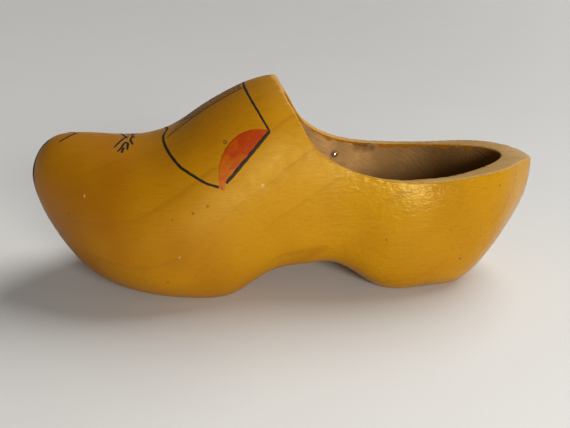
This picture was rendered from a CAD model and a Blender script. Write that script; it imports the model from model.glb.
import math

import bmesh
import bpy
import numpy
from mathutils import Matrix, Vector, noise
from mathutils.bvhtree import BVHTree
from mathutils.kdtree import KDTree


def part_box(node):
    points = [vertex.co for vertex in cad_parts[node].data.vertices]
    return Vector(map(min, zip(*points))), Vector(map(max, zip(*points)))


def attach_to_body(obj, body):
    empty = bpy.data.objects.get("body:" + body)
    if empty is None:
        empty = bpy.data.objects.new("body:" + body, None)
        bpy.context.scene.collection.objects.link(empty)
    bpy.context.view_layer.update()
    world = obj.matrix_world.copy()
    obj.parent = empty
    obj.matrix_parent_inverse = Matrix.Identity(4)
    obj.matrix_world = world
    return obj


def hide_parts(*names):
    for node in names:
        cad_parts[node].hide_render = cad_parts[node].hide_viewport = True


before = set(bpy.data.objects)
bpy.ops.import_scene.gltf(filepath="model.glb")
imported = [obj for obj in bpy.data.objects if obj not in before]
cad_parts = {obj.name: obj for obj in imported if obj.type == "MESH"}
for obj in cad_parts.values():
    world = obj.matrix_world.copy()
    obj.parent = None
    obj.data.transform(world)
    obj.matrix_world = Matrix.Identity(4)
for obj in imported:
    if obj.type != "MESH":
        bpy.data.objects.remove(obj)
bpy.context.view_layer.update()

# A varnished wooden clog with painted decoration. Lengths are in metres; the tables of places on the clog
# are in millimetres and MM turns them into metres. -Y is the outer side of the shoe, +X the heel.

MM = 0.001
BODY = "root"

# ------------------------------------------------------------------------------ shaders


class Shader:
    """A material's node tree, with short calls for the nodes that this scene uses."""

    def __init__(self, name, **surface_values):
        self.material = bpy.data.materials.new(name)
        self.material.use_nodes = True
        self.tree = self.material.node_tree
        self.surface = self.tree.nodes["Principled BSDF"]
        for socket, value in surface_values.items():
            self.surface.inputs[socket.replace("_", " ")].default_value = value
        coordinates = self.tree.nodes.new("ShaderNodeTexCoord").outputs["Object"]
        self.place = self.vector("SCALE", coordinates, scale=1 / MM)

    def feed(self, socket, value):
        """Gives a socket another node's output, or a plain value."""
        if isinstance(value, bpy.types.NodeSocket):
            self.tree.links.new(value, socket)
        else:
            socket.default_value = value

    def math(self, operation, first, second=0.0, clamp=False):
        node = self.tree.nodes.new("ShaderNodeMath")
        node.operation = operation
        node.use_clamp = clamp
        self.feed(node.inputs[0], first)
        self.feed(node.inputs[1], second)
        return node.outputs[0]

    def vector(self, operation, first, second=None, scale=None):
        node = self.tree.nodes.new("ShaderNodeVectorMath")
        node.operation = operation
        self.feed(node.inputs[0], first)
        if second is not None:
            self.feed(node.inputs[1], second)
        if scale is not None:
            self.feed(node.inputs["Scale"], scale)
        return node.outputs["Value" if operation in ("DOT_PRODUCT", "LENGTH", "DISTANCE") else "Vector"]

    def station(self):
        """The place along the clog, in millimetres towards the heel."""
        return self.vector("DOT_PRODUCT", self.place, (1.0, 0.0, 0.0))

    def turned(self, angles):
        """The place in a frame turned by these angles, in degrees."""
        node = self.tree.nodes.new("ShaderNodeMapping")
        node.inputs["Rotation"].default_value = [math.radians(angle) for angle in angles]
        self.feed(node.inputs["Vector"], self.place)
        return node.outputs["Vector"]

    def noise(self, stretch=(1, 1, 1), scale=1.0, detail=3.0, place=None, roughness=0.5, shift=0.0):
        """Cloudy pattern from 0 to 1; scale is about one over the patch size in millimetres."""
        node = self.tree.nodes.new("ShaderNodeTexNoise")
        where = self.vector("MULTIPLY", self.place if place is None else place, stretch)
        if shift:
            where = self.vector("ADD", where, (shift, shift, shift))
        self.feed(node.inputs["Vector"], where)
        node.inputs["Scale"].default_value = scale
        node.inputs["Detail"].default_value = detail
        node.inputs["Roughness"].default_value = roughness
        return node.outputs["Fac"]

    def span(self, value, low, high, start=0.0, end=1.0):
        """Smooth step of value from low to high."""
        node = self.tree.nodes.new("ShaderNodeMapRange")
        node.interpolation_type = "SMOOTHSTEP"
        sockets = ("Value", "From Min", "From Max", "To Min", "To Max")
        for socket, given in zip(sockets, (value, low, high, start, end)):
            self.feed(node.inputs[socket], given)
        return node.outputs["Result"]

    def mix(self, share, first, second, blend="MIX"):
        """Blend of two colours."""
        node = self.tree.nodes.new("ShaderNodeMix")
        node.data_type = "RGBA"
        node.blend_type = blend
        self.feed(node.inputs["Factor"], share)
        self.feed(node.inputs["A"], first)
        self.feed(node.inputs["B"], second)
        return node.outputs["Result"]

    def attribute(self, name):
        node = self.tree.nodes.new("ShaderNodeAttribute")
        node.attribute_name = name
        return node.outputs["Fac"]

    def near(self, point, reach, soft):
        """1 at a point of the clog, given in millimetres, falling to 0 at its reach."""
        distance = self.vector("DISTANCE", self.place, point)
        return self.span(distance, reach - soft, reach, 1.0, 0.0)

    def bump(self, height, distance, strength=1.0, under=None):
        """Surface normal bumped by a height of 0 to 1 times the distance in metres."""
        node = self.tree.nodes.new("ShaderNodeBump")
        node.inputs["Distance"].default_value = distance
        self.feed(node.inputs["Strength"], strength)
        self.feed(node.inputs["Height"], height)
        if under is not None:
            self.feed(node.inputs["Normal"], under)
        return node.outputs["Normal"]

    def set(self, socket, value):
        self.feed(self.surface.inputs[socket], value)


# Growth rings, in millimetres: the log's pith line passes beside the clog and rises to the heel, and the log
# was a little bent.
PITH = (0.0, -46.5, 12.0)
PITH_DIRECTION = tuple(Vector((1.0, -0.245, 0.6)).normalized())
RING_SQUASH = (1.0, 1.0, 0.5)
PITH_BEND = -0.0015
RING_PITCH = 14.0
RING_SHIFT = 0.9

AMBER = (0.485, 0.232, 0.002, 1)
AMBER_DEEP = (0.32, 0.112, 0.001, 1)
RING_BROWN = (0.21, 0.07, 0.002, 1)
RIM_TAN = (0.42, 0.235, 0.052, 1)
RIM_TAN_DARK = (0.34, 0.175, 0.033, 1)
BARE_WOOD = (0.52, 0.30, 0.11, 1)
BARE_WOOD_GREY = (0.35, 0.195, 0.072, 1)
WORN_HEEL = (0.07, 0.026, 0.005, 1)
STAIN = (0.09, 0.04, 0.015, 1)
CHIP = (0.72, 0.52, 0.25, 1)
ORANGE_THIN = (0.42, 0.105, 0.001, 1)
ORANGE_FULL = (0.34, 0.028, 0.001, 1)
BLACK_FULL = (0.006, 0.004, 0.003, 1)
BLACK_THIN = (0.022, 0.012, 0.006, 1)
STEEL_BRIGHT = (0.80, 0.78, 0.74, 1)
STEEL_DULL = (0.45, 0.42, 0.38, 1)
FLOOR_PALE = (0.70, 0.695, 0.68, 1)
FLOOR_SHADE = (0.67, 0.665, 0.65, 1)

# Small marks on the wood: x, y, z and radius, in millimetres.
SPECKS = (
    (-86.5, -45.3, 63.8, 0.9), (-48.2, -50.9, 61.0, 1.2), (-56.0, -52.2, 57.7, 1.2),
    (-67.0, -53.2, 54.5, 1.1), (-71.1, -54.8, 18.8, 0.9), (-103.4, -37.8, 67.0, 0.9),
    (-124.7, -32.2, 51.5, 1.0), (51.2, -45.3, 35.7, 1.0), (96.4, -42.0, 20.6, 1.1),
    (117.9, -34.8, 62.9, 0.9), (88.3, -44.4, 39.9, 0.7), (-60.0, 53.5, 48.0, 1.1),
    (-22.0, 47.5, 66.0, 0.9), (64.0, 46.0, 30.0, 1.1), (101.0, 42.0, 52.0, 0.9),
    (-96.0, 42.0, 58.0, 1.0),
)
CHIPS = (
    (-114.9, -35.3, 63.0, 1.6), (-18.3, -46.0, 70.0, 1.5), (-63.9, -56.3, 34.3, 1.2),
    (30.0, 42.0, 40.0, 1.4),
)
KNOT_RING = (-37.9, -36.0, 91.7)
KNOT_RADIUS = 0.85
NAIL_PLACE = (33.3, 33.5, 62.5)
NICKS = ((82.0, 33.5, 61.0, 1.4), (96.0, 30.5, 60.0, 1.3), (60.0, 36.0, 60.5, 1.2))
LAP_STAINS = ((49.0, 35.5, 67.0, 5.5), (54.0, 35.5, 66.0, 5.5), (58.5, 36.0, 65.5, 4.0))


def growth_rings(shader):
    """Darkness of the late wood, 0 to 1, from the distance to the pith."""
    away = shader.vector("SUBTRACT", shader.place, PITH)
    along = shader.vector("DOT_PRODUCT", away, PITH_DIRECTION)
    across = shader.vector("SUBTRACT", away, shader.vector("SCALE", PITH_DIRECTION, scale=along))
    radius = shader.vector("LENGTH", shader.vector("MULTIPLY", across, RING_SQUASH))
    bend = shader.math("MULTIPLY", shader.math("MULTIPLY", along, along), PITH_BEND)
    wander = shader.math("MULTIPLY", shader.noise(scale=0.025, detail=2.0), 7.0)
    radius = shader.math("ADD", shader.math("ADD", radius, bend), wander)
    phase = shader.math("FRACT", shader.math("ADD", shader.math("DIVIDE", radius, RING_PITCH), RING_SHIFT))
    zone = shader.span(phase, 0.3, 0.95, 0.0, 0.3)
    line = shader.span(phase, 0.86, 0.955, 0.0, 0.7)
    fall = shader.span(phase, 0.955, 1.0, 1.0, 0.0)
    strength = shader.span(shader.noise(scale=0.02, detail=1.0, shift=31.0), 0.38, 0.62, 0.12, 1.0)
    return shader.math("MULTIPLY", shader.math("MULTIPLY", shader.math("ADD", zone, line), fall), strength)


def spots(shader, places):
    """Small round marks, each given by its place and radius in millimetres."""
    total = None
    for x, y, z, radius in places:
        mark = shader.near((x, y, z), radius, radius * 0.8)
        total = mark if total is None else shader.math("MAXIMUM", total, mark)
    return total


def fibres(shader):
    """Fine streaks along the log."""
    return shader.noise((0.05, 1.0, 1.0), scale=1.1, detail=4.0, place=shader.turned((0, 4, 3)))


def varnished_colour(shader, rings, streaks):
    """Amber, deeper towards the toe, with rings, pores, specks, chips and the ring of a knot."""
    cloud = shader.noise(scale=0.018, detail=2.0, shift=7.0)
    towards_toe = shader.span(shader.station(), 60.0, -140.0, 0.0, 0.7)
    tone = shader.math("ADD", towards_toe, shader.span(cloud, 0.35, 0.7, 0.0, 0.4))
    colour = shader.mix(tone, AMBER, AMBER_DEEP)
    colour = shader.mix(shader.math("MULTIPLY", rings, 0.3), colour, RING_BROWN)
    colour = shader.mix(shader.span(streaks, 0.45, 0.75, 0.0, 0.22), colour, RING_BROWN)
    pores = shader.noise((0.2, 1.0, 1.0), scale=1.8, detail=2.0, shift=3.0)
    colour = shader.mix(shader.span(pores, 0.62, 0.78, 0.0, 0.35), colour, RING_BROWN)
    colour = shader.mix(shader.math("MULTIPLY", spots(shader, SPECKS), 0.75), colour, STAIN)
    ragged = shader.span(shader.noise(scale=1.3, detail=3.0, shift=19.0), 0.45, 0.55)
    chips = shader.math("MULTIPLY", spots(shader, CHIPS), ragged)
    colour = shader.mix(shader.math("MULTIPLY", chips, 0.7), colour, CHIP)
    off_ring = shader.math("SUBTRACT", shader.vector("DISTANCE", shader.place, KNOT_RING), KNOT_RADIUS)
    ring_mark = shader.span(shader.math("ABSOLUTE", off_ring), 0.1, 0.55, 0.8, 0.0)
    return shader.mix(ring_mark, colour, STAIN)


def bare_colour(shader, streaks, tool_marks):
    """Pale wood inside, worn dark towards the heel and stained round the nail."""
    cloud = shader.noise(scale=0.045, detail=3.0, shift=11.0)
    colour = shader.mix(shader.span(cloud, 0.35, 0.65), BARE_WOOD, BARE_WOOD_GREY)
    colour = shader.mix(shader.span(streaks, 0.45, 0.7, 0.0, 0.35), colour, BARE_WOOD_GREY)
    colour = shader.mix(shader.span(tool_marks, 0.55, 0.75, 0.0, 0.4), colour, BARE_WOOD_GREY)
    colour = shader.mix(shader.span(shader.station(), 45.0, 105.0, 0.0, 0.75), colour, WORN_HEEL)
    colour = shader.mix(shader.math("MULTIPLY", spots(shader, NICKS), 0.6), colour, STAIN)
    return shader.mix(shader.math("MULTIPLY", shader.near(NAIL_PLACE, 4.5, 3.5), 0.7), colour, STAIN)


def wood_material():
    """Amber varnish outside and over the rim, bare gouged wood inside."""
    shader = Shader("varnished_wood", IOR=1.4, Specular_Tint=(1.0, 0.84, 0.3, 1))
    rings = growth_rings(shader)
    streaks = fibres(shader)
    tool_marks = shader.noise((0.10, 1.0, 1.0), scale=0.75, detail=4.0, place=shader.turned((0, -32, 0)))
    depth = shader.attribute("rim_depth")
    inner = shader.span(shader.attribute("inner"), 0.45, 0.55)

    edge = shader.noise(scale=0.11, detail=2.0, shift=5.0)
    lap_width = shader.span(edge, 0.35, 0.65, 0.5, 3.4)
    lap = shader.span(shader.math("SUBTRACT", depth, lap_width), -0.25, 0.25, 1.0, 0.0)
    outside = varnished_colour(shader, rings, streaks)
    inside = bare_colour(shader, streaks, tool_marks)
    inside = shader.mix(shader.math("MULTIPLY", lap, 0.85), inside, AMBER_DEEP)
    inside = shader.mix(shader.math("MULTIPLY", spots(shader, LAP_STAINS), 0.6), inside, STAIN)
    rim = shader.mix(shader.span(streaks, 0.4, 0.65), RIM_TAN, RIM_TAN_DARK)
    rim = shader.mix(shader.math("MULTIPLY", rings, 0.4), rim, RING_BROWN)
    station = shader.station()
    rim = shader.mix(shader.span(station, 20.0, 65.0), outside, rim)
    on_rim = shader.span(depth, 0.2, 0.45, 1.0, 0.0)
    colour = shader.mix(on_rim, shader.mix(inner, outside, inside), rim)
    shader.set("Base Color", colour)

    bare = shader.math("MULTIPLY", inner, shader.math("SUBTRACT", 1.0, shader.math("MAXIMUM", lap, on_rim)))
    quarter = shader.span(station, 5.0, 45.0)
    gloss = shader.span(shader.noise(scale=0.12, detail=3.0, shift=23.0), 0.3, 0.7, 0.17, 0.26)
    gloss = shader.math("ADD", gloss, shader.math("MULTIPLY", shader.math("SUBTRACT", 1.0, quarter), 0.24))
    gloss = shader.math("MAXIMUM", gloss, shader.math("MULTIPLY", on_rim, 0.5))
    shader.set("Roughness", shader.math("MAXIMUM", gloss, shader.math("MULTIPLY", bare, 0.8)))
    crinkle = shader.noise((0.55, 1.0, 1.0), scale=0.5, detail=4.0, roughness=0.6, shift=2.0)
    crinkle_strength = shader.span(station, -10.0, 45.0, 0.25, 1.0)
    normal = shader.bump(crinkle, 0.42 * MM, strength=crinkle_strength)
    normal = shader.bump(streaks, 0.03 * MM, under=normal)
    normal = shader.bump(tool_marks, 0.9 * MM, strength=bare, under=normal)
    shader.set("Normal", normal)
    return shader.material


def paint_material(name, thin, full, scale, roughness):
    """Brushed paint: fuller and thinner patches, with the grain of the wood in them."""
    shader = Shader(name, IOR=1.35, Specular_Tint=(1.0, 0.85, 0.6, 1))
    cover = shader.noise((0.4, 1.0, 1.0), scale=scale, detail=4.0, place=shader.turned((0, 45, 0)))
    colour = shader.mix(shader.span(cover, 0.35, 0.65), full, thin)
    streaks = fibres(shader)
    colour = shader.mix(shader.span(streaks, 0.5, 0.7, 0.0, 0.25), colour, full)
    shader.set("Base Color", colour)
    shader.set("Roughness", shader.span(cover, 0.3, 0.7, roughness, roughness + 0.15))
    shader.set("Normal", shader.bump(cover, 0.06 * MM))
    return shader.material


def orange_material():
    """Orange glaze, fuller towards the back and along the bold line."""
    shader = Shader("orange_paint", IOR=1.46, Specular_Tint=(1.0, 0.62, 0.3, 1))
    cover = shader.noise((0.5, 1.0, 1.0), scale=0.35, detail=4.0, place=shader.turned((0, 35, 0)))
    height = shader.vector("DOT_PRODUCT", shader.place, (0.65, 0.0, 0.76))
    fuller = shader.span(height, 28.0, 56.0, 0.0, 0.7)
    share = shader.math("ADD", shader.span(cover, 0.35, 0.7, 0.0, 0.6), fuller, clamp=True)
    colour = shader.mix(share, ORANGE_THIN, ORANGE_FULL)
    colour = shader.mix(shader.span(fibres(shader), 0.45, 0.7, 0.0, 0.3), colour, ORANGE_FULL)
    shader.set("Base Color", colour)
    shader.set("Roughness", shader.span(cover, 0.3, 0.7, 0.38, 0.5))
    shader.set("Normal", shader.bump(cover, 0.05 * MM))
    return shader.material


def steel_material():
    shader = Shader("nail_steel", Metallic=1.0)
    scuff = shader.noise(scale=2.5, detail=3.0)
    shader.set("Base Color", shader.mix(scuff, STEEL_BRIGHT, STEEL_DULL))
    shader.set("Roughness", shader.span(scuff, 0.3, 0.7, 0.16, 0.34))
    shader.set("Normal", shader.bump(scuff, 0.05 * MM))
    return shader.material


def floor_material():
    shader = Shader("floor_paper")
    cloud = shader.noise(scale=0.01, detail=3.0)
    shader.set("Base Color", shader.mix(cloud, FLOOR_PALE, FLOOR_SHADE))
    grain = shader.noise(scale=0.8, detail=4.0)
    shader.set("Roughness", shader.span(grain, 0.3, 0.7, 0.5, 0.65))
    shader.set("Normal", shader.bump(grain, 0.05 * MM))
    return shader.material


# ------------------------------------------------------------------------------ meshes

WELD_GAP = 0.002 * MM
REMESH_DEPTH = 8
REMESH_SHARE = 0.77
SHARP_ANGLE = math.radians(32)
EDGE_STEP = 0.1 * MM
REFINE_REACH = 2.0 * MM
ROUND_INNER = 0.6 * MM
ROUND_OUTER = 1.1 * MM
SMOOTHING_PASSES = 2
SLOPE_OUTER_SIDE = math.tan(math.radians(23))
SLOPE_INNER_SIDE = math.tan(math.radians(3))
SLOPE_BLEND = 20 * MM
SLOPE_FULL = 32 * MM
SLOPE_END = 78 * MM
SLOPE_DEPTH = 14 * MM
RIM_STEP = 1.0 * MM
CREST_SHARE = 0.06
ON_RIM = 0.3 * MM
HOLLOW_SPAN = (-105 * MM, 105 * MM)
HOLLOW_HEIGHT = 50 * MM

GOUGE_DEPTH = 0.5 * MM
GOUGE_ALONG = (0.85, 0.53)
WAVE_DEPTH = 0.22 * MM
FADE_NEAR_RIM = 5.0 * MM


def add_piece(name, mesh):
    piece = bpy.data.objects.new(name, mesh)
    bpy.context.scene.collection.objects.link(piece)
    return piece


def attach(piece, material, slot_name, *nodes):
    """Gives a piece its material and body, and says which CAD nodes it stands for."""
    piece.data.materials.clear()
    piece.data.materials.append(material)
    for polygon in piece.data.polygons:
        polygon.use_smooth = True
    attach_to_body(piece, BODY)
    if nodes:
        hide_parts(*nodes)


def remeshed_copy(node, name):
    """The CAD node's form as an even quad mesh that keeps its edges."""
    mesh = node.data.copy()
    soup = bmesh.new()
    soup.from_mesh(mesh)
    bmesh.ops.remove_doubles(soup, verts=soup.verts, dist=WELD_GAP)
    soup.to_mesh(mesh)
    soup.free()
    piece = add_piece(name, mesh)
    remesh = piece.modifiers.new("remesh", "REMESH")
    remesh.mode = "SHARP"
    remesh.octree_depth = REMESH_DEPTH
    remesh.scale = REMESH_SHARE
    remesh.sharpness = 1.0
    remesh.use_remove_disconnected = True
    graph = bpy.context.evaluated_depsgraph_get()
    even = bpy.data.meshes.new_from_object(piece.evaluated_get(graph))
    piece.modifiers.clear()
    piece.data = even
    return piece


def search_tree(points):
    tree = KDTree(len(points))
    for index, point in enumerate(points):
        tree.insert(point, index)
    tree.balance()
    return tree


class RimEdges:
    """The sharp edges round the foot opening, outer and inner, as closely spaced points."""

    def __init__(self, mesh):
        soup = bmesh.new()
        soup.from_mesh(mesh)
        points = {True: [], False: []}
        for edge in soup.edges:
            if not edge.is_manifold or edge.calc_face_angle() < SHARP_ANGLE:
                continue
            start, end = (vertex.co for vertex in edge.verts)
            middle = (start + end) / 2
            looks = edge.link_faces[0].normal + edge.link_faces[1].normal
            axis_point = Vector((min(max(middle.x, HOLLOW_SPAN[0]), HOLLOW_SPAN[1]), 0, HOLLOW_HEIGHT))
            inner = (axis_point - middle).dot(looks) > 0
            pieces = max(1, math.ceil((end - start).length / EDGE_STEP))
            points[inner] += [start.lerp(end, number / pieces) for number in range(pieces)]
        soup.free()
        self.inner = search_tree(points[True])
        self.outer = search_tree(points[False])

    def nearest(self, place):
        """Nearest point of either edge, its distance and the radius that the edge is rounded to."""
        inner_point, _, inner_gap = self.inner.find(place)
        outer_point, _, outer_gap = self.outer.find(place)
        if inner_gap < outer_gap:
            return inner_point, inner_gap, ROUND_INNER
        return outer_point, outer_gap, ROUND_OUTER


def refine_rim(mesh, edges):
    """Smaller faces along the rim's edges, so that they can be rounded."""
    soup = bmesh.new()
    soup.from_mesh(mesh)
    close = {vertex for vertex in soup.verts if edges.nearest(vertex.co)[1] < REFINE_REACH}
    chosen = [edge for edge in soup.edges if edge.verts[0] in close and edge.verts[1] in close]
    bmesh.ops.subdivide_edges(soup, edges=chosen, cuts=2, use_grid_fill=True)
    soup.to_mesh(mesh)
    soup.free()


def round_rim(mesh, edges):
    """Moves the wood near each rim edge onto an arc between the two faces that meet there."""
    places = read_vertices(mesh, "co")
    normals = read_vertices(mesh, "normal")
    near_edge = []
    for index, place in enumerate(places):
        edge_point, gap, radius = edges.nearest(place)
        if gap < 2 * radius:
            near_edge.append(index)
        if gap >= radius:
            continue
        turn = math.pi / 4 * (1 - gap / radius)
        if gap < EDGE_STEP:
            move = -normals[index] * radius * (math.sqrt(2) - 1)
        else:
            away = (place - numpy.array(edge_point)) / gap
            move = -normals[index] * radius * (1 - math.cos(turn))
            move += away * (radius - radius * math.sin(turn) - gap)
        places[index] += move
    write_places(mesh, places)
    soup = bmesh.new()
    soup.from_mesh(mesh)
    soup.verts.ensure_lookup_table()
    chosen = [soup.verts[index] for index in near_edge]
    for _ in range(SMOOTHING_PASSES):
        bmesh.ops.smooth_vert(
            soup, verts=chosen, factor=0.5, use_axis_x=True, use_axis_y=True, use_axis_z=True
        )
    soup.to_mesh(mesh)
    soup.free()


def smooth_share(value, low, high):
    """0 at low, 1 at high and a smooth step between."""
    share = min(1.0, max(0.0, (value - low) / (high - low)))
    return share * share * (3 - 2 * share)


def rim_drops(places, edges, depth, slopes_in):
    """How far the rim is cut down towards its inner edge: most on the outer side, fading to the heel."""
    drops = numpy.zeros(len(places))
    for index in numpy.flatnonzero(slopes_in & (depth < SLOPE_DEPTH) & (places[:, 0] < SLOPE_END)):
        inner_point = edges.inner.find(places[index])[0]
        thickness = edges.outer.find(inner_point)[2]
        across = min(thickness, edges.outer.find(places[index])[2])
        side = smooth_share(places[index][1], -SLOPE_BLEND, SLOPE_BLEND)
        slope = SLOPE_OUTER_SIDE + (SLOPE_INNER_SIDE - SLOPE_OUTER_SIDE) * side
        along = 1 - smooth_share(places[index][0], SLOPE_FULL, SLOPE_END)
        drops[index] = slope * across * along * (1 - depth[index] / SLOPE_DEPTH)
    return drops


def collar_line(tree, low, high):
    """Side view of the collar, as (x, z) points: the highest wood over each station behind the lip."""
    points = []
    x = low.x + (high.x - low.x) * (0.5 - CREST_SHARE / 2)
    while x < high.x:
        crest = 0.0
        y = low.y
        while y < high.y:
            hit = tree.ray_cast(Vector((x, y, high.z + RIM_STEP)), Vector((0, 0, -1)))[0]
            if hit is not None:
                crest = max(crest, hit.z)
            y += RIM_STEP
        if crest > 0:
            points.append((x, crest))
        x += RIM_STEP
    return numpy.array(points)


def distance_below(places, line):
    """Distance of each place from the collar line in the side view, and the way down from the line."""
    side = places[:, (0, 2)]
    best = numpy.full(len(side), numpy.inf)
    down = numpy.zeros((len(side), 3))
    for start, end in zip(line, line[1:]):
        run = end - start
        share = numpy.clip(((side - start) @ run) / (run @ run), 0, 1)
        gap = numpy.linalg.norm(side - start - share[:, None] * run, axis=1)
        nearer = gap < best
        best[nearer] = gap[nearer]
        down[nearer] = (run[1], 0, -run[0])
    return best, down / numpy.linalg.norm(down, axis=1)[:, None]


def facing_inwards(places, normals):
    """True where the surface looks towards the middle line of the hollow for the foot."""
    middle = numpy.zeros_like(places)
    middle[:, 0] = numpy.clip(places[:, 0], *HOLLOW_SPAN)
    middle[:, 2] = HOLLOW_HEIGHT
    return ((middle - places) * normals).sum(axis=1) > 0


def read_vertices(mesh, what):
    """The vertices' places ("co") or normals ("normal"), one row each."""
    values = numpy.empty(len(mesh.vertices) * 3, dtype=numpy.float32)
    if what == "normal":
        mesh.vertex_normals.foreach_get("vector", values)
    else:
        mesh.vertices.foreach_get(what, values)
    return values.reshape(-1, 3).astype(numpy.float64)


def write_places(mesh, places):
    mesh.vertices.foreach_set("co", places.astype(numpy.float32).ravel())
    mesh.update()


def add_attribute(mesh, name, values):
    layer = mesh.attributes.new(name, "FLOAT", "POINT")
    layer.data.foreach_set("value", values.astype(numpy.float32))


def carve(mesh, inner, depth):
    """Hand-carved relief, always into the wood: long shallow waves outside, gouge cuts inside."""
    places = read_vertices(mesh, "co")
    normals = read_vertices(mesh, "normal")
    run, rise = GOUGE_ALONG
    for index, (place, normal) in enumerate(zip(places, normals)):
        spot = Vector(place) / MM
        if inner[index]:
            slant = Vector((spot.x * run + spot.z * rise, spot.y, spot.z * run - spot.x * rise))
            wave = noise.noise(Vector((slant.x * 0.05, slant.y * 0.22, slant.z * 0.22)))
            cut = GOUGE_DEPTH * (0.5 + 0.5 * wave)
        else:
            wave = noise.noise(spot * 0.035)
            cut = WAVE_DEPTH * (0.5 + 0.5 * wave)
        fade = min(1.0, depth[index] / FADE_NEAR_RIM)
        places[index] -= normal * cut * fade
    write_places(mesh, places)


def side_at_rim(places, inner, on_rim):
    """Counts each place on the rim's face as inner or outer, like the nearest wall."""
    walls = KDTree(len(places))
    for index in numpy.flatnonzero(~on_rim):
        walls.insert(places[index], int(index))
    walls.balance()
    for index in numpy.flatnonzero(on_rim):
        inner[index] = inner[walls.find(places[index])[1]]


def build_wood():
    """The carved block, with what the wood's material needs to know at each point of it."""
    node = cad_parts["clog_body"]
    low, high = (Vector(corner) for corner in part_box("clog_body"))
    piece = remeshed_copy(node, "carved_wood")
    mesh = piece.data
    sharp_tree = BVHTree.FromObject(piece, bpy.context.evaluated_depsgraph_get())
    line = collar_line(sharp_tree, low, high)

    edges = RimEdges(mesh)
    refine_rim(mesh, edges)
    places = read_vertices(mesh, "co")
    depth, down = distance_below(places, line)
    inner = facing_inwards(places, read_vertices(mesh, "normal"))
    on_rim = depth < ON_RIM
    side_at_rim(places, inner, on_rim)

    drops = rim_drops(places, edges, depth, inner | on_rim)
    round_rim(mesh, edges)
    write_places(mesh, read_vertices(mesh, "co") + down * drops[:, None])
    carve(mesh, inner, depth)
    add_attribute(mesh, "rim_depth", depth / MM)
    add_attribute(mesh, "inner", inner)
    attach(piece, wood_material(), "varnished_wood", "clog_body")
    return piece


# ------------------------------------------------------------------------------ brush strokes

PATH_STEP = 0.6 * MM
PAINT_SINK = 0.05 * MM
PAINT_RISE = 0.09 * MM
STROKE_COLUMNS = (-1.0, -0.6, 0.0, 0.6, 1.0)
STROKE_RISES = (0.25, 0.85, 1.0, 0.85, 0.25)
CLEAR_OF_SIDE = 0.1
ABOVE_CLOG = 0.2


def smooth_path(points, step=PATH_STEP):
    """Points a step apart along a smooth curve through the given ones."""
    padded = [2 * points[0] - points[1]] + list(points) + [2 * points[-1] - points[-2]]
    path = []
    for before, start, end, after in zip(padded, padded[1:], padded[2:], padded[3:]):
        pieces = max(2, math.ceil((end - start).length / step))
        for number in range(pieces):
            share = number / pieces
            path.append(0.5 * (
                2 * start + (end - before) * share
                + (2 * before - 5 * start + 4 * end - after) * share ** 2
                + (3 * start - before - 3 * end + after) * share ** 3
            ))
    path.append(points[-1])
    return path


class Canvas:
    """The wood's surface, to paint on."""

    def __init__(self, piece):
        self.tree = BVHTree.FromObject(piece, bpy.context.evaluated_depsgraph_get())

    def touch(self, point):
        """Nearest place on the wood and its normal."""
        place, normal, _, _ = self.tree.find_nearest(point)
        return place, normal

    def project(self, point, direction):
        """First place on the wood from a point outside it, and its normal."""
        place, normal, _, _ = self.tree.ray_cast(point, direction)
        return place, normal

    def from_side(self, spot, side):
        """Place on one side of the clog at a spot (x, z) of the side view, and its normal."""
        return self.project(Vector((spot.x, side * CLEAR_OF_SIDE, spot.y)), Vector((0, -side, 0)))


def stroke_rows(canvas, points, width, seed, ends=0.45, unsteady=1.0):
    """Rows across a brush stroke through points near the wood; it wavers and narrows at its ends."""
    centres = [canvas.touch(point) for point in smooth_path(points)]
    last = len(centres) - 1
    rows = []
    for number, (place, normal) in enumerate(centres):
        ahead = centres[min(number + 1, last)][0]
        behind = centres[max(number - 1, 0)][0]
        across = normal.cross(ahead - behind).normalized()
        share = number / last
        body = ends + (1 - ends) * min(1.0, 5 * min(share, 1 - share)) ** 0.5
        walked = number * PATH_STEP / MM
        waver = 1 + 0.22 * unsteady * noise.noise(Vector((walked * 0.35, seed * 3.7, 0)))
        drift = 0.10 * unsteady * width * noise.noise(Vector((walked * 0.25, seed * 1.3, 5)))
        reach = width / 2 * body * waver
        rows.append([canvas.touch(place + across * (reach * column + drift)) for column in STROKE_COLUMNS])
    return rows


class Film:
    """Closed thin solids of paint, gathered into one mesh."""

    def __init__(self):
        self.vertices = []
        self.faces = []

    def add(self, rows, rises):
        """A sheet on the wood from rows of (place, normal), with the rise of each column."""
        first = len(self.vertices)
        wide = len(rises)
        under = len(rows) * wide
        for row in rows:
            for (place, normal), rise in zip(row, rises):
                self.vertices.append(place + normal * PAINT_RISE * rise)
        for row in rows:
            for place, normal in row:
                self.vertices.append(place - normal * PAINT_SINK)
        for line in range(len(rows) - 1):
            for column in range(wide - 1):
                corner = first + line * wide + column
                quad = (corner, corner + 1, corner + wide + 1, corner + wide)
                self.faces.append(quad)
                self.faces.append(tuple(index + under for index in reversed(quad)))
        edge = [first + column for column in range(wide)]
        edge += [first + line * wide + wide - 1 for line in range(1, len(rows))]
        edge += [first + (len(rows) - 1) * wide + column for column in range(wide - 2, -1, -1)]
        edge += [first + line * wide for line in range(len(rows) - 2, 0, -1)]
        for here, there in zip(edge, edge[1:] + edge[:1]):
            self.faces.append((there, here, here + under, there + under))

    def finish(self, name, material, slot_name, *nodes):
        mesh = bpy.data.meshes.new(name)
        mesh.from_pydata(self.vertices, [], self.faces)
        soup = bmesh.new()
        soup.from_mesh(mesh)
        bmesh.ops.recalc_face_normals(soup, faces=soup.faces)
        soup.to_mesh(mesh)
        soup.free()
        attach(add_piece(name, mesh), material, slot_name, *nodes)


def on_clog(places):
    """Points in metres from places in millimetres."""
    return [Vector(place) * MM for place in places]


def other_side(points):
    """The same points on the inner side of the clog."""
    return [Vector((point.x, -point.y, point.z)) for point in points]


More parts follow.
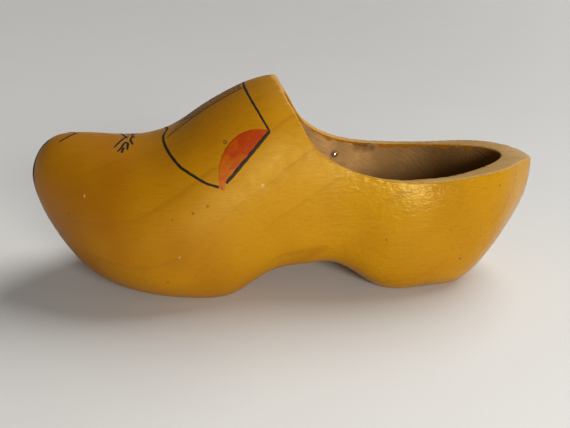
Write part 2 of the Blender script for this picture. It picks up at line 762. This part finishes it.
def over_the_top(points):
    """A line that ends at the crest, carried on down the inner side."""
    return points + other_side(points[-2::-1])


BAND_FRONT = on_clog((
    (-41.8, -47.3, 70.2), (-48.8, -46.4, 72.4), (-55.3, -43.7, 75.8), (-62.6, -38.6, 79.7),
    (-68.5, -29.5, 84.6), (-71.5, -20.4, 87.2), (-72.7, -10.4, 89.1), (-71.0, 0.0, 90.4),
))
BAND_EDGE = on_clog(((-38.0, -46.6, 72.2), (-27.5, -42.4, 83.4), (-14.0, -36.0, 97.5)))
BAND_BACK = on_clog((
    (-14.0, -36.0, 97.5), (-18.3, -31.0, 104.3), (-22.7, -22.4, 111.0), (-25.7, -11.0, 115.0),
    (-26.5, 0.0, 116.0),
))
CENTRE_LINE = on_clog((
    (-70.5, -14.0, 88.5), (-65.8, -10.6, 91.5), (-59.2, -8.3, 95.0), (-49.2, -8.2, 101.0),
    (-36.0, -7.2, 109.0), (-26.5, -7.0, 115.0),
))
TOE_LEFT = on_clog(((-132.0, -3.5, 84.0), (-129.6, -1.6, 85.0), (-126.8, 1.8, 86.0), (-123.2, 7.2, 87.0)))
TOE_RIGHT = on_clog(((-132.0, 15.5, 84.0), (-129.6, 13.6, 85.0), (-126.8, 10.2, 86.0), (-124.6, 6.6, 87.0)))
VAMP = (
    on_clog(((-99.9, -13.7, 84.0), (-98.1, -9.2, 85.0), (-96.0, -3.3, 86.0), (-94.0, 2.6, 86.0))),
    on_clog((
        (-97.8, -17.8, 83.0), (-95.9, -14.2, 84.0), (-94.3, -8.3, 85.0), (-92.9, -9.6, 85.0),
        (-92.5, -12.5, 85.0), (-92.5, -16.8, 84.0),
    )),
    on_clog(((-94.6, -14.2, 84.0), (-95.1, -17.3, 83.5), (-95.3, -19.3, 83.0))),
    on_clog(((-89.9, 1.6, 86.0), (-91.3, -1.3, 86.0), (-91.6, -5.7, 86.0), (-89.7, -11.8, 85.0))),
)
NOSE = on_clog((
    (-139.5, 4.4, 84.0), (-145.6, 3.7, 77.0), (-148.3, -2.3, 69.5), (-148.5, -4.5, 64.0),
    (-149.0, -4.8, 55.0), (-147.5, -3.6, 47.0),
))

FINE_LINE = 1.05 * MM
BACK_LINE = 1.3 * MM
FRONT_LINE = 1.6 * MM
EDGE_LINE = 2.2 * MM
TOE_LINE = 1.5 * MM
VAMP_LINE = 1.5 * MM
NOSE_LINE = 7.5 * MM

MOON_FOOT = Vector((-41.0, 69.3)) * MM
MOON_CREST = Vector((-35.9, 91.3)) * MM
MOON_HEAD = Vector((-14.3, 97.8)) * MM
MOON_ROWS = 60
MOON_COLUMNS = 18
MOON_MARGIN = 0.012
MOON_RISES = [0.6] * (MOON_COLUMNS - 1) + [0.35, 0.02]

BLOT_CENTRE = Vector((-39.8, 70.4)) * MM
BLOT_RADIUS = 1.5 * MM
BLOT_SQUASH = 0.8
BLOT_REACH = 0.96
BLOT_ROWS = 8
BLOT_COLUMNS = 6
BLOT_RISES = (0.02, 0.8, 1.3, 1.3, 1.3, 0.8, 0.02)

HATCH_PITCH = 3.0 * MM
HATCH_LINE = 0.25 * MM
HATCH_MARGIN = 0.4 * MM
HATCH_STEP = 2.0 * MM
HATCH_FROM = -69.0 * MM
HATCH_TO = -28.0 * MM


def circle_through(first, second, third):
    """Centre and radius of the circle through three points of a plane."""
    a = second - first
    b = third - first
    cross = 2 * (a.x * b.y - a.y * b.x)
    offset = Vector((
        b.y * a.length_squared - a.y * b.length_squared,
        a.x * b.length_squared - b.x * a.length_squared,
    ))
    centre = first + offset / cross
    return centre, (first - centre).length


def moon_rows(canvas, side):
    """Rows from the bold line to the arc of the half moon, in the side view of one side of the clog."""
    centre, radius = circle_through(MOON_FOOT, MOON_CREST, MOON_HEAD)
    start = math.atan2(MOON_FOOT.y - centre.y, MOON_FOOT.x - centre.x)
    end = math.atan2(MOON_HEAD.y - centre.y, MOON_HEAD.x - centre.x)
    turn = (end - start) % (2 * math.pi) - 2 * math.pi
    rows = []
    for line in range(MOON_ROWS + 1):
        share = MOON_MARGIN + (1 - 2 * MOON_MARGIN) * line / MOON_ROWS
        angle = start + turn * share
        rough = 0.25 * MM * noise.noise(Vector((line * 0.6, side * 9.0, 2.0)))
        outer = centre + Vector((math.cos(angle), math.sin(angle))) * (radius + rough)
        inner = MOON_FOOT.lerp(MOON_HEAD, (1 - math.cos(math.pi * share)) / 2)
        row = []
        for column in range(MOON_COLUMNS + 1):
            spot = inner.lerp(outer, column / MOON_COLUMNS)
            row.append(canvas.from_side(spot, side))
        rows.append(row)
    return rows


def blot_rows(canvas, side):
    """Rows of the small blot where the brush left the half moon."""
    rows = []
    for line in range(BLOT_ROWS + 1):
        height = -BLOT_REACH + 2 * BLOT_REACH * line / BLOT_ROWS
        reach = math.sqrt(1 - height ** 2)
        row = []
        for column in range(BLOT_COLUMNS + 1):
            across = reach * (2 * column / BLOT_COLUMNS - 1)
            spot = BLOT_CENTRE + Vector((across * BLOT_SQUASH, height)) * BLOT_RADIUS
            row.append(canvas.from_side(spot, side))
        rows.append(row)
    return rows


def strip_reach(x):
    """Half width of the strip between the two centre lines."""
    for start, end in zip(CENTRE_LINE, CENTRE_LINE[1:]):
        if start.x <= x <= end.x:
            return -(start.y + (end.y - start.y) * (x - start.x) / (end.x - start.x))
    return -CENTRE_LINE[-1].y


def hatch_routes():
    """Slanted lines both ways across the strip on the crest."""
    routes = []
    x = HATCH_FROM
    while x < HATCH_TO:
        for slope in (1, -1):
            reach = strip_reach(x) - HATCH_MARGIN
            far = min(HATCH_TO, x + reach * 1.1)
            route = []
            for share in (0.0, 0.5, 1.0):
                here = x + (far - x) * share
                limit = strip_reach(here) - HATCH_MARGIN
                route.append(Vector((here, slope * limit * (2 * share - 1), ABOVE_CLOG)))
            routes.append(route)
        x += HATCH_PITCH
    return routes


def paint_band(canvas, black):
    """The band's outline, the two lines along its middle and the hatching between them."""
    outline = Film()
    crossings = ((over_the_top(BAND_FRONT), FRONT_LINE), (over_the_top(BAND_BACK), BACK_LINE))
    for number, (points, width) in enumerate(crossings):
        outline.add(stroke_rows(canvas, points, width, number, ends=0.8), STROKE_RISES)
    for number, points in enumerate((BAND_EDGE, other_side(BAND_EDGE)), start=3):
        outline.add(stroke_rows(canvas, points, EDGE_LINE, number, ends=0.75), STROKE_RISES)
    outline.finish("band_outline_paint", black, "black_paint", "band_outline")

    lines = Film()
    for number, points in enumerate((CENTRE_LINE, other_side(CENTRE_LINE)), start=5):
        lines.add(stroke_rows(canvas, points, FINE_LINE, number), STROKE_RISES)
    lines.finish("band_centre_paint", black, "black_paint", "band_centre_lines")

    hatching = Film()
    for number, route in enumerate(hatch_routes(), start=7):
        above = smooth_path(route, HATCH_STEP)
        dropped = [canvas.project(point, Vector((0, 0, -1)))[0] for point in above]
        hatching.add(stroke_rows(canvas, dropped, HATCH_LINE, number), STROKE_RISES)
    hatching.finish("band_hatching", black, "black_paint")


def paint_moon(canvas, orange, side, name):
    moon = Film()
    moon.add(moon_rows(canvas, side), MOON_RISES)
    moon.add(blot_rows(canvas, side), BLOT_RISES)
    moon.finish(name + "_paint", orange, "orange_paint", name)


def paint_strokes(canvas, black, name, routes, width, ends=0.45, unsteady=1.0):
    film = Film()
    for number, points in enumerate(routes, start=50):
        film.add(stroke_rows(canvas, points, width, number, ends, unsteady), STROKE_RISES)
    film.finish(name + "_paint", black, "black_paint", name)


def paint_clog(canvas):
    black = paint_material("black_paint", BLACK_THIN, BLACK_FULL, 0.9, 0.5)
    orange = orange_material()
    paint_band(canvas, black)
    paint_moon(canvas, orange, -1, "half_moon_outer")
    paint_moon(canvas, orange, 1, "half_moon_inner")
    paint_strokes(canvas, black, "toe_strokes", (TOE_LEFT, TOE_RIGHT), TOE_LINE)
    vamp = VAMP + tuple(other_side(points) for points in VAMP)
    paint_strokes(canvas, black, "vamp_strokes", vamp, VAMP_LINE)
    paint_strokes(canvas, black, "nose_line", (NOSE,), NOSE_LINE, ends=0.2, unsteady=0.3)


# ------------------------------------------------------------------------------ stage, light and camera

FLOOR_SIZE = 80.0
WINDOW_PLACE = (0.37, -1.12, 0.37)
WINDOW_TARGET = (0.03, -0.04, 0.05)
WINDOW_SIZE = 0.4
WINDOW_SPREAD = math.radians(80)
WINDOW_POWER = 2.25
WINDOW_COLOUR = (1.0, 0.97, 0.93)
SKYLIGHT_FROM = (0.65, 0.45, 0.75)
SKYLIGHT_ANGLE = math.radians(50)
SKYLIGHT_POWER = 2.85
SKYLIGHT_COLOUR = (1.0, 0.99, 0.97)
WORLD_COLOUR = (0.90, 0.88, 0.85, 1)
HORIZON_STRENGTH = 0.68
ZENITH_STRENGTH = 0.10
HORIZON_HEIGHT = 0.28
CAMERA_PLACE = (-0.0405, -0.402, 0.195)
CAMERA_TURN = -5.47
CAMERA_TILT = 68.4
CAMERA_ROLL = 0.4
CAMERA_LENS = 44.45


def add_floor():
    mesh = bpy.data.meshes.new("floor")
    half = FLOOR_SIZE / 2
    corners = [(-half, -half, 0), (half, -half, 0), (half, half, 0), (-half, half, 0)]
    mesh.from_pydata(corners, [], [(0, 1, 2, 3)])
    floor = add_piece("floor", mesh)
    mesh.materials.append(floor_material())


def add_light(data, place, target, colour):
    data.color = colour
    light = bpy.data.objects.new(data.name, data)
    light.location = place
    light.rotation_euler = (Vector(target) - Vector(place)).to_track_quat("-Z", "Y").to_euler()
    light.visible_camera = False
    bpy.context.scene.collection.objects.link(light)


def add_lights():
    window = bpy.data.lights.new("window", "AREA")
    window.shape = "DISK"
    window.size = WINDOW_SIZE
    window.spread = WINDOW_SPREAD
    window.energy = WINDOW_POWER
    add_light(window, WINDOW_PLACE, WINDOW_TARGET, WINDOW_COLOUR)
    skylight = bpy.data.lights.new("skylight", "SUN")
    skylight.angle = SKYLIGHT_ANGLE
    skylight.energy = SKYLIGHT_POWER
    add_light(skylight, SKYLIGHT_FROM, (0.0, 0.0, 0.0), SKYLIGHT_COLOUR)


def add_camera():
    data = bpy.data.cameras.new("camera")
    data.lens = CAMERA_LENS
    data.sensor_width = 36
    camera = bpy.data.objects.new("camera", data)
    turn = Matrix.Rotation(math.radians(CAMERA_TURN), 4, "Z")
    tilt = Matrix.Rotation(math.radians(CAMERA_TILT), 4, "X")
    roll = Matrix.Rotation(math.radians(CAMERA_ROLL), 4, "Z")
    camera.matrix_world = Matrix.Translation(CAMERA_PLACE) @ turn @ tilt @ roll
    bpy.context.scene.collection.objects.link(camera)
    bpy.context.scene.camera = camera


def set_world():
    """A dim room, paler towards the horizon."""
    world = bpy.data.worlds.new("studio")
    world.use_nodes = True
    nodes = world.node_tree.nodes
    links = world.node_tree.links
    direction = nodes.new("ShaderNodeTexCoord").outputs["Generated"]
    parts = nodes.new("ShaderNodeSeparateXYZ")
    links.new(direction, parts.inputs["Vector"])
    strength = nodes.new("ShaderNodeMapRange")
    strength.interpolation_type = "SMOOTHSTEP"
    strength.inputs["From Max"].default_value = HORIZON_HEIGHT
    strength.inputs["To Min"].default_value = HORIZON_STRENGTH
    strength.inputs["To Max"].default_value = ZENITH_STRENGTH
    links.new(parts.outputs["Z"], strength.inputs["Value"])
    background = nodes["Background"]
    background.inputs["Color"].default_value = WORLD_COLOUR
    links.new(strength.outputs["Result"], background.inputs["Strength"])
    bpy.context.scene.world = world
    bpy.context.scene.view_settings.view_transform = "Standard"


# ------------------------------------------------------------------------------ the scene

wood = build_wood()
paint_clog(Canvas(wood))

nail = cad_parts["tie_nail"]
nail.data.materials.clear()
nail.data.materials.append(steel_material())

add_floor()
add_lights()
add_camera()
set_world()
